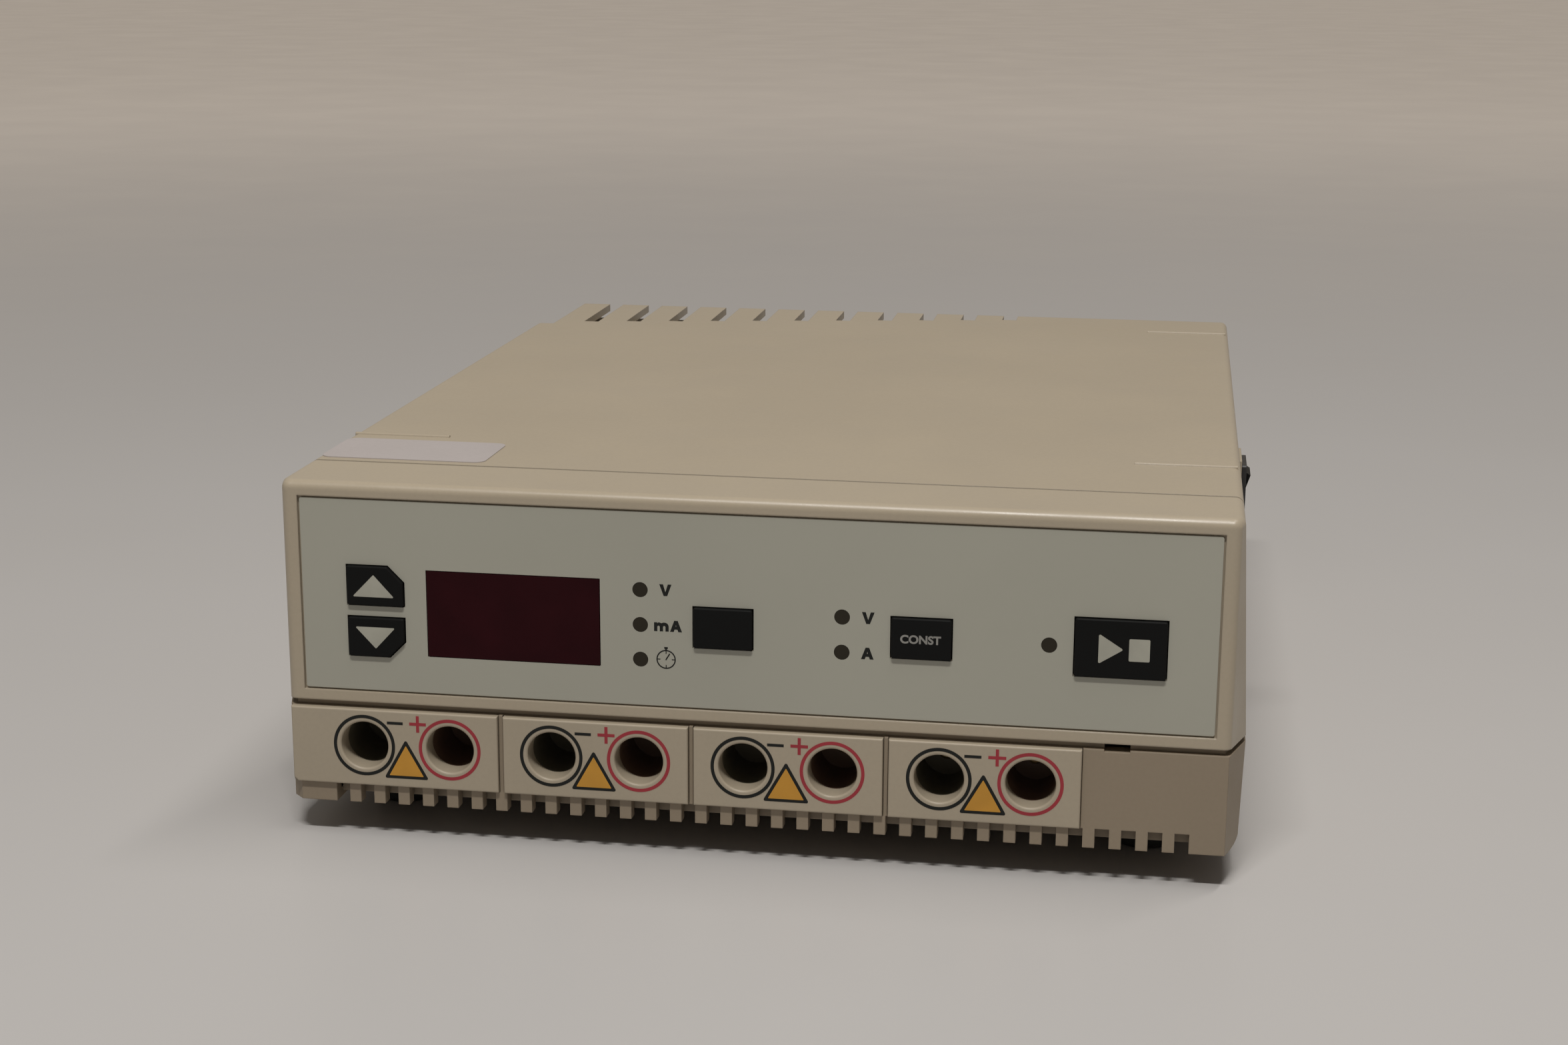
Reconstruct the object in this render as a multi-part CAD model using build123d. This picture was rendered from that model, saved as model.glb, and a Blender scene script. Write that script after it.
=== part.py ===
from build123d import *
import math
import os

os.makedirs("parts", exist_ok=True)

# A bench power supply with four pairs of output jacks. Millimetres, +X to the right seen
# from the front, +Y towards the back, +Z up. The origin is under the middle of the
# housing, on the surface that the feet stand on.
# Places below are given as x, inward from the front face, and up from the housing's
# lower edge, and the helpers turn them into this frame.

# Housing
depth = 300.0
shell_height = 84.6
half_width_top = 119.8
side_lean = 3.0
side_undercut = 0.9
front_step = 1.1
front_flare = 0.32
half_width_parting = half_width_top + side_lean
half_width_bottom = half_width_parting - side_undercut
half_width_front = half_width_top - front_step
wall = 2.5
edge_round = 2.2
bottom_round = 2.5
base_top = 25.6
base_front_wall = 3.5
parting_groove = 1.6
parting = base_top + parting_groove
tongue_wall = 1.8
tongue_rise = 4.0
tongue_root = 1.0
fit_gap = 0.2
slide_gap = 0.3
bite = 0.5
beyond = 1.0
foot_height = 9.0
foot_radius = 8.0
foot_stem_radius = 2.9
foot_stem_length = 6.0
foot_round = 1.5
foot_barb = 1.0
foot_side_margin = 23.0
foot_end_margin = 32.0
foot_x = half_width_bottom - foot_side_margin
foot_inward = (foot_end_margin, depth - foot_end_margin)

# Front bezel and what sits in it
bezel_depth = 24.0
bezel_lip_root = 6.0
bezel_lip_reach = 5.0
seam_gap = 1.0
overlay_margins = (3.8, 3.3)
overlay_low_margin = 2.8
overlay_high_margin = 3.8
overlay_x = (overlay_margins[0] - half_width_front, half_width_front - overlay_margins[1])
overlay_up = (parting + overlay_low_margin, shell_height - overlay_high_margin)
overlay_sink = 0.3
overlay_thickness = 0.6
overlay_outline_gap = 0.5
overlay_corner = 0.6
key_row_rise = 24.2
key_row_up = parting + key_row_rise
key_rise = 0.9
key_corner = 0.5
key_rim_round = 0.4
key_flange = 1.2
key_flange_thickness = 1.0
key_stem_radius = 1.75
key_travel = 0.7
small_key_width = 14.8
small_key_height = 10.3
run_key_width = 22.1
run_key_height = 14.6
arrow_key_width = 14.7
arrow_key_height = 10.2
arrow_key_cut = 4.1
arrow_key_spread = 13.4
window_width = 44.5
window_height = 22.3
arrow_key_margin = 19.7
window_margin = 55.35
select_key_reach = 53.55
mode_key_shift = 0.5
run_key_margin = 23.8
arrow_key_x = overlay_x[0] + arrow_key_margin
window_x = overlay_x[0] + window_margin
select_key_x = window_x + select_key_reach
run_key_x = overlay_x[1] - run_key_margin
mode_key_x = (select_key_x + run_key_x) / 2 + mode_key_shift
light_radius = 1.95
light_sink = 0.1
light_spacing = 9.0
select_light_gap = 20.9
mode_light_gap = 19.6
run_light_gap = 17.2
light_columns = {
    select_key_x - select_light_gap: 3,
    mode_key_x - mode_light_gap: 2,
    run_key_x - run_light_gap: 1,
}
snap_window_margin = 30.1
snap_window_width = 6.3
snap_window_sink = 0.5
snap_window_left = half_width_front - snap_window_margin
snap_window_x = (snap_window_left, snap_window_left + snap_window_width)

# Comb of air slots along the front's lower edge, and the cut-back corner beside it
corner_cut_width = 2.0
corner_cut_reach = 6.0
comb_pitch = 6.48
comb_slot_width = 3.5
comb_slot_height = 5.0
comb_margins = (11.33, 8.73)
comb_room = 2 * half_width_front - sum(comb_margins) - comb_slot_width
comb_slots = round(comb_room / comb_pitch) + 1
comb_middle_x = (comb_margins[0] - comb_margins[1]) / 2
air_lip_inward = (4.6, 6.4)
air_lip_up = (1.3, 6.4)
air_undercut_inward = 12.0

# Output modules
modules = 4
module_pitch = 49.2
module_left_margin = 0.2
module_first_reach = 30.6
module_last_reach = 23.6
module_left_end = module_left_margin - half_width_front
module_first_x = module_left_end + module_first_reach
module_right_end = module_first_x + (modules - 1) * module_pitch + module_last_reach
module_top_gap = 0.2
module_up = (5.1, base_top - module_top_gap)
module_proud = 1.0
module_seat = 1.0
module_divider = 1.0
module_edge_round = 0.4
module_corner = 1.1
jack_spacing = 22.6
jack_up = 15.9
jack_bore_radius = 6.2
jack_collar_length = 5.7
jack_boss_radius = 8.5
jack_boss_length = 24.0
jack_mouth_round = 0.6
sleeve_wall = 1.2
sleeve_bottom = 1.5
contact_bore_radius = 2.0
contact_bore_gap = 0.1
contact_end_wall = 2.0
contact_nut_gap = 0.05
contact_radius = 3.0
contact_flange_radius = 5.0
contact_flange = 1.0
contact_length = 14.0
contact_nut_radius = 5.0
contact_nut_height = 3.0

# Top cover
vent_pitch = 14.5
vent_width = 5.0
vents = 11
vent_longest = 40.0
vent_shortest = 9.0
corner_vent_margin = 6.3
corner_vent_x = corner_vent_margin - half_width_top
vent_first_reach = 12.0
corner_vent_length = 47.0
corner_vent_drop = 5.0
rib_length = 26.6
rib_width = 1.2
rib_rise = 0.5
rib_crest_round = 0.45
rib_end_margin = 0.8
rib_front_reach = 57.6
rib_back_margin = 27.0
rib_end_x = half_width_top - rib_end_margin
rib_inward = (rib_front_reach, depth - rib_back_margin)
label_margin = 1.2
label_size = (44.2, 24.2)
label_seam_gap = 2.9
label_left = label_margin - half_width_top
label_front = bezel_depth + seam_gap + label_seam_gap
label_x = (label_left, label_left + label_size[0])
label_inward = (label_front, label_front + label_size[1])
label_thickness = 0.2
label_corner = 3.0

# Rear panel
panel_thickness = 1.5
panel_inset = 2.5
panel_side_gap = 0.7
panel_top_margin = 4.6
shelf_reach = 51.0
panel_half_width = half_width_top - wall - panel_side_gap
panel_top_up = shell_height - panel_top_margin
shelf_inward = depth - shelf_reach
shelf_margin = 8.0
louvre_low = 20.0
louvre_margin = 14.0
louvre_up = (louvre_low, panel_top_up - louvre_margin)

# Power switch in the right side
switch_inward = 118.0
switch_drop = 21.1
switch_up = shell_height - switch_drop
switch_pad_rise = 1.8
switch_pad_x = half_width_top + switch_pad_rise
switch_pad = (18.0, 24.0)
switch_flange = (15.0, 21.0)
switch_flange_thickness = 1.4
switch_body = (13.0, 19.2)
switch_body_depth = 15.0
switch_corner = 0.8
rocker_radius = 8.8
rocker_width = 10.4
rocker_tilt = 9.0
rocker_waist = 2.6
rocker_skirt = 1.5
rocker_axis_sink = 2.4
rocker_axis_x = switch_pad_x - rocker_axis_sink
rocker_gap = 0.4
trunnion_radius = 1.0
trunnion_gap = 0.05

# Mains inlet in the rear panel
inlet_margin = 38.6
inlet_x = panel_half_width - inlet_margin
inlet_up = 40.0
inlet_flange = (32.0, 52.0)
inlet_flange_thickness = 2.0
inlet_corner = 2.0
inlet_body = (28.0, 46.0)
inlet_body_depth = 26.0
socket_up = -8.5
socket = (24.4, 16.4)
socket_depth = 17.0
socket_corner = 3.0
pin_size = (2.0, 4.0)
pin_spread = 7.0
pin_length = 26.0
pin_sink = 2.0
outer_pin_rise = 1.5
middle_pin_rise = 4.5
drawer_up = 11.5
drawer = (24.0, 11.0)
drawer_depth = 22.0
drawer_face = (26.0, 13.0)
drawer_face_thickness = 2.0
drawer_face_gap = 0.1
drawer_corner = 1.0
drawer_end_wall = 1.0
fuse_radius = 2.6
fuse_length = 20.0
fuse_spread = 6.5

# Boards and parts inside
board_thickness = 1.6
control_board_inward = 12.0
control_board_side_margin = 7.1
control_board_low_margin = 4.8
control_board_high_margin = 4.6
control_board_half = half_width_front - control_board_side_margin
control_board_x = (-control_board_half, control_board_half)
control_board_up = (
    parting + control_board_low_margin,
    shell_height - control_board_high_margin,
)
post_radius = 3.0
post_margin = 3.5
middle_post_x = 14.0
control_post_x = (
    post_margin - control_board_half,
    middle_post_x,
    control_board_half - post_margin,
)
control_post_up = (control_board_up[0] + post_margin, control_board_up[1] - post_margin)
control_posts = [(x, up) for x in control_post_x for up in control_post_up]
display_size = (42.0, 20.0)
display_thickness = 7.5
tact_size = 8.0
tact_thickness = 5.0
led_radius = 1.5
led_gap = 0.6
led_rim = 0.4
led_rim_height = 4.0
output_board_margin = 6.5
output_board_overhang = 2.7
output_board_x = (
    module_left_end + output_board_margin,
    module_right_end + output_board_overhang,
)
output_board_up = (7.5, 24.5)
main_board_left = -22.0
main_board_front = 52.0
main_board_side_margin = 19.8
main_board_back_margin = 62.0
main_board_x = (main_board_left, half_width_top - main_board_side_margin)
main_board_inward = (main_board_front, depth - main_board_back_margin)
main_board_width = main_board_x[1] - main_board_x[0]
main_board_length = main_board_inward[1] - main_board_inward[0]
main_board_up = 12.0
standoff_radius = 3.5
standoff_margin = 6.0
cans = 3
can_back_margin = 36.0
can_left_reach = 28.0
can_pitch = 30.0
can_places = [
    (can_left_reach + number * can_pitch, main_board_length - can_back_margin)
    for number in range(cans)
]
can_radius = 12.5
can_height = 42.0
can_round = 1.5
relays = 2
relay_right_margin = 26.0
relay_front_reach = 26.0
relay_pitch = 32.0
relay_places = [
    (main_board_width - relay_right_margin, relay_front_reach + number * relay_pitch)
    for number in range(relays)
]
relay_size = (18.0, 28.0, 16.0)
rectifier_place = (20.0, 60.0)
rectifier_size = (6.0, 24.0, 20.0)
ribbon_place = (42.0, 8.0)
header_size = (30.0, 8.0, 9.0)
ribbon_socket_up = 42.0
ribbon_socket_size = (30.0, 7.0, 8.0)
ribbon_size = (24.0, 1.0)
ribbon_bend = 8.0
choke_reach = 52.0
choke_shift = 1.0
choke_place = (choke_reach, main_board_length / 2 - choke_shift)
choke_size = (42.0, 20.0, 34.0)
choke_limb = 6.0
choke_overhang = 7.0
core_gap = 0.4
transformer_margin = 51.8
transformer_front = 94.0
transformer_place = (transformer_margin - half_width_top, transformer_front)
transformer_size = (68.0, 42.0, 54.0)
transformer_limb = 11.0
transformer_overhang = 12.0
bracket_thickness = 2.0
bracket_ear = 8.0
output_lead_radius = 1.2
output_lead_bend = 5.0
output_lead_reach = 9.0
output_lead_drop = 4.0
output_lead_pitch = 5.0
mains_lead_radius = 1.4
mains_lead_bend = 8.0
mains_lead_margins = (18.0, 12.0)
heat_sink_x = (-88.0, 32.0)
heat_sink_deep = 32.0
heat_sink_back_margin = 24.0
heat_sink_back = depth - heat_sink_back_margin
heat_sink_inward = (heat_sink_back - heat_sink_deep, heat_sink_back)
heat_sink_height = 62.0
heat_sink_base = 5.0
heat_sink_fins = 12
fin_thickness = 1.6
transistors = 4
transistor_pitch = 26.0
transistor_up = 45.0
transistor_size = (15.0, 5.0, 21.0)
transistor_lead = (8.0, 1.0, 9.0)
screw_radius = 1.4
shank_radius = 1.3
screw_head_radius = 2.8
screw_head_height = 2.0
screw_length = 7.0
case_screw_side_margin = 11.8
case_screw_front = 66.0
case_screw_back_margin = 64.0
case_screw_x = half_width_top - case_screw_side_margin
case_screw_inward = (case_screw_front, depth - case_screw_back_margin)
case_screws = [(x, inward) for x in (-case_screw_x, case_screw_x) for inward in case_screw_inward]
case_boss_radius = 4.5
case_boss_height = 36.0
case_screw_sink = 18.0
case_screw_top = 48.0
panel_screw_margin = 10.6
panel_screw_low = 14.0
panel_screw_drop = 11.0
panel_screw_x = panel_half_width - panel_screw_margin
panel_screws_up = (panel_screw_low, panel_top_up - panel_screw_drop)
panel_block = (10.0, 9.0)

front = -depth / 2
bottom = foot_height
inside_top = shell_height - wall
face_back = overlay_sink + overlay_thickness


# Shapes placed by x, inward from the front, and up from the lower edge
def block(x_span, in_span, up_span):
    size = [high - low for low, high in (x_span, in_span, up_span)]
    middle = (sum(x_span) / 2, front + sum(in_span) / 2, bottom + sum(up_span) / 2)
    return Pos(*middle) * Box(*size)


def around(middle, size):
    return (middle - size / 2, middle + size / 2)


def rod_inward(x, up, radius, in_span):
    length = in_span[1] - in_span[0]
    place = Pos(x, front + sum(in_span) / 2, bottom + up)
    return place * Rot(90, 0, 0) * Cylinder(radius, length)


def rod_up(x, inward, radius, up_span):
    length = up_span[1] - up_span[0]
    place = Pos(x, front + inward, bottom + sum(up_span) / 2)
    return place * Cylinder(radius, length)


def sheet(outline, in_span):
    plane = Plane((0, front + in_span[0], bottom), x_dir=(1, 0, 0), z_dir=(0, -1, 0))
    return extrude(plane * outline, amount=in_span[1] - in_span[0], dir=(0, 1, 0))


def rounded(x_span, up_span, corner):
    size = (x_span[1] - x_span[0], up_span[1] - up_span[0])
    return Pos(sum(x_span) / 2, sum(up_span) / 2) * RectangleRounded(*size, corner)


def joined(shapes):
    whole = shapes[0]
    for shape in shapes[1:]:
        whole = whole + shape
    return whole


def save(name, shape):
    solids = shape.solids()
    export_step(Compound(children=list(solids)), f"parts/{name}.step")


def save_each(name, shapes):
    solids = [solid for shape in shapes for solid in shape.solids()]
    export_step(Compound(children=solids), f"parts/{name}.step")


# Housing outline: the side walls lean outwards from the top to the parting line and
# back in below it
def upper_half(up):
    share = (up - parting) / (shell_height - parting)
    return half_width_parting + share * (half_width_top - half_width_parting)


def lower_half(up):
    share = up / base_top
    return half_width_bottom + share * (half_width_parting - half_width_bottom)


def section(half_at, inset, low, high):
    right = half_at(low) - inset
    top = half_at(high) - inset
    return Polygon((-right, low), (right, low), (top, high), (-top, high), align=None)


# The housing seen from above: upright edges at the front face, and sides that flare
# back from them
def plan(low, high, inset=0.0):
    wide = half_width_parting + wall
    narrow = half_width_front - inset
    flare_end = front + (wide - narrow) / front_flare
    outline = Polygon(
        (-narrow, front),
        (narrow, front),
        (wide, flare_end),
        (wide, beyond - front),
        (-wide, beyond - front),
        (-wide, flare_end),
        align=None,
    )
    return extrude(Plane.XY.offset(bottom + low) * outline, amount=high - low)


def hollow_half():
    return upper_half(parting + tongue_rise) - wall - fit_gap


# Keys, as outlines seen from the front
def arrow_outline(direction):
    x_low, x_high = around(arrow_key_x, arrow_key_width)
    middle = key_row_up + direction * arrow_key_spread / 2
    near = middle - direction * arrow_key_height / 2
    far = middle + direction * arrow_key_height / 2
    corners = [
        (x_low, near),
        (x_high, near),
        (x_high, far - direction * arrow_key_cut),
        (x_high - arrow_key_cut, far),
        (x_low, far),
    ]
    return Polygon(*corners, align=None)


def plain_outline(x, width, height):
    return Pos(x, key_row_up) * Rectangle(width, height)


keys = {
    "key_up": arrow_outline(1),
    "key_down": arrow_outline(-1),
    "key_select": plain_outline(select_key_x, small_key_width, small_key_height),
    "key_mode": plain_outline(mode_key_x, small_key_width, small_key_height),
    "key_run": plain_outline(run_key_x, run_key_width, run_key_height),
}
key_middles = {name: outline.bounding_box().center() for name, outline in keys.items()}
lights = [
    (x, key_row_up + (number - (count - 1) / 2) * light_spacing)
    for x, count in light_columns.items()
    for number in range(count)
]


def grown(outline, amount):
    return offset(outline, amount=amount, kind=Kind.INTERSECTION)


def key_holes(in_span):
    return [sheet(grown(outline, slide_gap), in_span) for outline in keys.values()]


def window_hole(in_span):
    x_span = around(window_x, window_width + 2 * fit_gap)
    return block(x_span, in_span, around(key_row_up, window_height + 2 * fit_gap))


def light_holes(radius, in_span):
    return [rod_inward(x, up, radius, in_span) for x, up in lights]


# Front bezel: a frame open at the back, with the recess of the overlay in its face, and
# a lip that runs back under the top cover
def bezel_layer(inset, low, in_span):
    return sheet(section(upper_half, inset, low, shell_height - inset), in_span)


def make_bezel():
    lip_low = parting + tongue_rise + beyond
    outer = sheet(section(upper_half, 0, parting, shell_height), (0, bezel_depth))
    outer = outer & plan(parting, shell_height)
    top_edges = outer.edges().group_by(Axis.Z)[-1]
    outer = fillet(top_edges - top_edges.filter_by(Axis.X), edge_round)
    top_front = outer.edges().filter_by(Axis.X).group_by(Axis.Y)[0].sort_by(Axis.Z)[-1]
    outer = fillet(top_front, edge_round)
    hollow = bezel_layer(wall, parting - beyond, (wall, bezel_depth + beyond))
    body = outer - (hollow & plan(parting - beyond, shell_height, wall))
    body -= block(overlay_x, (-beyond, face_back), overlay_up)
    through = (-beyond, wall + beyond)
    body -= [window_hole(through)] + key_holes(through)
    body -= light_holes(light_radius - fit_gap, through)
    posts = [
        rod_inward(x, up, post_radius, (wall, control_board_inward))
        - rod_inward(x, up, screw_radius, (wall + beyond, control_board_inward + beyond))
        for x, up in control_posts
    ]
    lip_start = bezel_depth - bezel_lip_root
    lip_end = bezel_depth + bezel_lip_reach
    lip = bezel_layer(wall, lip_low, (lip_start, bezel_depth))
    lip += bezel_layer(wall + fit_gap, lip_low, (lip_start, lip_end))
    lip -= bezel_layer(
        wall + fit_gap + tongue_wall, lip_low - beyond, (lip_start - beyond, lip_end + beyond)
    )
    save("front_bezel", joined([body, lip] + posts))


def make_overlay():
    outline = rounded(
        (overlay_x[0] + overlay_outline_gap, overlay_x[1] - overlay_outline_gap),
        (overlay_up[0] + overlay_outline_gap, overlay_up[1] - overlay_outline_gap),
        overlay_corner,
    )
    body = sheet(outline, (overlay_sink, face_back))
    body -= [window_hole((-beyond, wall))] + key_holes((-beyond, wall))
    body -= light_holes(light_radius, (-beyond, wall))
    save("front_overlay", body)


def make_window():
    body = block(
        around(window_x, window_width),
        (overlay_sink, wall),
        around(key_row_up, window_height),
    )
    save("display_window", body)


def make_light_windows():
    shapes = [
        rod_inward(x, up, light_radius, (overlay_sink + light_sink, face_back))
        for x, up in lights
    ]
    save_each("light_windows", shapes)


# A key: a cap that stands out of the overlay, a flange behind the bezel wall, and a
# stem that runs into its switch
def make_key(name, outline):
    flange_front = wall + slide_gap / 2
    flange_back = flange_front + key_flange_thickness
    cap = sheet(outline, (overlay_sink - key_rise, flange_front + bite))
    cap = fillet(cap.edges().filter_by(Axis.Y), key_corner)
    cap = fillet(cap.faces().sort_by(Axis.Y)[0].edges(), key_rim_round)
    flange = sheet(grown(outline, key_flange), (flange_front, flange_back))
    middle = key_middles[name]
    tip = control_board_inward - key_travel - slide_gap
    stem = rod_inward(middle.X, middle.Y, key_stem_radius, (flange_back - bite, tip))
    save(name, joined([cap, flange, stem]))


# Control board and what it carries
def make_control_board():
    back = control_board_inward + board_thickness
    board = block(control_board_x, (control_board_inward, back), control_board_up)
    board -= [
        rod_inward(
            x, up, screw_radius + fit_gap, (control_board_inward - beyond, back + beyond)
        )
        for x, up in control_posts
    ]
    save("control_board", board)
    screws = [
        rod_inward(x, up, screw_head_radius, (back, back + screw_head_height))
        + rod_inward(x, up, shank_radius, (back - screw_length, back + bite))
        for x, up in control_posts
    ]
    save_each("control_board_screws", screws)
    switches = []
    for middle in key_middles.values():
        body = block(
            around(middle.X, tact_size),
            (control_board_inward - tact_thickness, control_board_inward),
            around(middle.Y, tact_size),
        )
        well = rod_inward(
            middle.X,
            middle.Y,
            key_stem_radius + slide_gap,
            (control_board_inward - tact_thickness - beyond, control_board_inward - fit_gap),
        )
        switches.append(body - well)
    save_each("key_switches", switches)
    leds = []
    for x, up in lights:
        lens = rod_inward(x, up, led_radius, (wall + led_gap, control_board_inward))
        rim = rod_inward(
            x,
            up,
            led_radius + led_rim,
            (control_board_inward - led_rim_height, control_board_inward),
        )
        leds.append(lens + rim)
    save_each("status_lights", leds)


def make_display():
    back = control_board_inward
    body = block(
        around(window_x, display_size[0]),
        (back - display_thickness, back),
        around(key_row_up, display_size[1]),
    )
    save("digit_display", body)


# Base shell: a tray whose front wall carries the output modules and ends in a comb
def module_x(number):
    return module_first_x + number * module_pitch


def divider_x(number):
    return module_x(number) + module_pitch / 2


def jack_places():
    places = []
    for number in range(modules):
        for side in (-1, 1):
            places.append((module_x(number) + side * jack_spacing / 2, side))
    return places


def corner_cut():
    edge = corner_cut_width - half_width_front
    outer = edge - corner_cut_width - corner_cut_reach
    outline = Polygon(
        (edge, front - beyond),
        (edge, front),
        (outer, front + edge - outer),
        (outer, front - beyond),
        align=None,
    )
    height = module_up[0] - fit_gap + beyond
    return extrude(Plane.XY.offset(bottom - beyond) * outline, amount=height)


def make_base():
    outer = sheet(section(lower_half, 0, 0, base_top), (0, depth))
    outer = outer & plan(0, base_top)
    low_sides = outer.edges().group_by(Axis.Z)[0].filter_by(Axis.Y)
    outer = fillet(low_sides, bottom_round)
    outer -= corner_cut()
    inner = section(lower_half, wall, wall, base_top + beyond)
    hollow = sheet(inner, (base_front_wall, depth + beyond))
    body = outer - (hollow & plan(0, base_top + beyond, wall))
    seat_up = (module_up[0] - fit_gap, module_up[1] + fit_gap)
    seat_x = (-half_width_parting - beyond, module_right_end + fit_gap)
    body -= block(seat_x, (-beyond, module_seat), seat_up)
    body += [
        block(
            around(divider_x(number), module_divider),
            (0, wall),
            seat_up,
        )
        for number in range(modules - 1)
    ]
    body -= [
        block(
            around(module_x(number), jack_spacing + 2 * jack_boss_radius + 2 * fit_gap),
            (-beyond, base_front_wall + beyond),
            around(jack_up, 2 * jack_boss_radius + 2 * fit_gap),
        )
        for number in range(modules)
    ]
    first_slot = comb_middle_x - (comb_slots - 1) * comb_pitch / 2
    body -= [
        block(
            around(first_slot + number * comb_pitch, comb_slot_width),
            (-beyond, air_lip_inward[0]),
            (-beyond, comb_slot_height),
        )
        for number in range(comb_slots)
    ]
    comb_x = around(comb_middle_x, (comb_slots - 1) * comb_pitch + comb_slot_width)
    body -= block(comb_x, (base_front_wall, air_lip_inward[0]), (-beyond, comb_slot_height))
    body += block(comb_x, air_lip_inward, (0, air_lip_up[1]))
    body -= block(comb_x, (base_front_wall, air_undercut_inward), (-beyond, air_lip_up[0]))
    body += base_tongue()
    snap_window_up = (base_top - snap_window_sink, parting)
    body -= block(snap_window_x, (-beyond, wall + fit_gap + tongue_wall), snap_window_up)
    body += [
        rod_up(x, inward, case_boss_radius, (wall / 2, case_boss_height))
        for x, inward in case_screws
    ]
    body -= [
        rod_up(x, inward, screw_head_radius + slide_gap, (-beyond, case_screw_sink))
        for x, inward in case_screws
    ]
    body -= [
        rod_up(x, inward, screw_radius + fit_gap, (0, case_boss_height + beyond))
        for x, inward in case_screws
    ]
    body -= [
        rod_up(x, inward, foot_stem_radius, (-beyond, wall + beyond))
        for x in (-foot_x, foot_x)
        for inward in foot_inward
    ]
    body += [base_panel_block(side) for side in (-1, 1)]
    save("base_shell", body)


def base_tongue():
    half = hollow_half()
    start = wall + fit_gap
    end = panel_front()
    ring_high = parting + tongue_rise
    root_low = base_top - tongue_root
    root_high = parting - fit_gap
    ring = block((-half, half), (start, end), (root_low, ring_high))
    ring = ring & plan(root_low, ring_high, start)
    root_half = half + tongue_root
    root = block((-root_half, root_half), (start - tongue_root, end), (root_low, root_high))
    ring += root & plan(root_low, root_high, start - tongue_root)
    hollow = block(
        (tongue_wall - half, half - tongue_wall),
        (start + tongue_wall, depth),
        (0, ring_high + beyond),
    )
    return ring - (hollow & plan(0, ring_high + beyond, start + tongue_wall))


def panel_front():
    return depth - panel_inset - panel_thickness


def panel_screw_hole(side, up):
    in_span = (panel_front() - panel_block[1] + beyond, panel_front() + beyond)
    return rod_inward(side * panel_screw_x, up, screw_radius, in_span)


def base_panel_block(side):
    x_span = around(side * panel_screw_x, panel_block[0])
    up_span = (wall / 2, panel_screws_up[0] + panel_block[1] / 2)
    body = block(x_span, (panel_front() - panel_block[1], panel_front()), up_span)
    return body - panel_screw_hole(side, panel_screws_up[0])


def cover_panel_block(side):
    inner = panel_screw_x - panel_block[0] / 2
    x_span = sorted((side * inner, side * (upper_half(panel_screws_up[1]) - wall / 2)))
    up_span = around(panel_screws_up[1], panel_block[1])
    body = block(x_span, (panel_front() - panel_block[1], panel_front()), up_span)
    return body - panel_screw_hole(side, panel_screws_up[1])


# Top cover: a lid with both side walls, vent slots at the back and stacking ribs
def vent_x(number):
    return corner_vent_x + vent_first_reach + number * vent_pitch


def vent_length(number):
    share = number / (vents - 1)
    return vent_longest + share * (vent_shortest - vent_longest)


def make_cover():
    start = bezel_depth + seam_gap
    outer = sheet(section(upper_half, 0, parting, shell_height), (start, depth))
    long_edges = outer.edges().filter_by(Axis.Y).group_by(Axis.Z)[-1]
    outer = fillet(long_edges, edge_round)
    body = outer - sheet(
        section(upper_half, wall, parting - beyond, inside_top), (start - beyond, depth + beyond)
    )
    pad = block(
        (upper_half(switch_up) - wall, switch_pad_x),
        around(switch_inward, switch_pad[0]),
        around(switch_up, switch_pad[1]),
    )
    body += pad
    body -= block(
        (half_width_top - switch_body_depth, switch_pad_x + beyond),
        around(switch_inward, switch_body[0] + 2 * fit_gap),
        around(switch_up, switch_body[1] + 2 * fit_gap),
    )
    body -= [
        block(
            around(vent_x(number), vent_width),
            (depth - vent_length(number), depth + beyond),
            (inside_top - beyond, shell_height + beyond),
        )
        for number in range(vents)
    ]
    body -= block(
        (-half_width_parting, corner_vent_x),
        (depth - corner_vent_length, depth + beyond),
        (shell_height - corner_vent_drop, shell_height + beyond),
    )
    rib_places = [(-1, rib_inward[0]), (1, rib_inward[0]), (1, rib_inward[1])]
    for side, inward in rib_places:
        x_span = sorted((side * rib_end_x, side * (rib_end_x - rib_length)))
        rib = block(x_span, (inward, inward + rib_width), (inside_top, shell_height + rib_rise))
        crest = rib.edges().filter_by(Axis.X).group_by(Axis.Z)[-1]
        body += fillet(crest, rib_crest_round)
    body += [
        rod_up(x, inward, case_boss_radius, (case_boss_height + fit_gap, inside_top + bite))
        - rod_up(x, inward, screw_radius, (case_boss_height, case_screw_top + beyond))
        for x, inward in case_screws
    ]
    body += [cover_panel_block(side) for side in (-1, 1)]
    save("top_cover", body)


def make_label():
    outline = Plane.XY.offset(bottom + shell_height) * (
        Pos(sum(label_x) / 2, front + sum(label_inward) / 2)
        * RectangleRounded(
            label_x[1] - label_x[0], label_inward[1] - label_inward[0], label_corner
        )
    )
    save("label", extrude(outline, amount=label_thickness))


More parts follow.
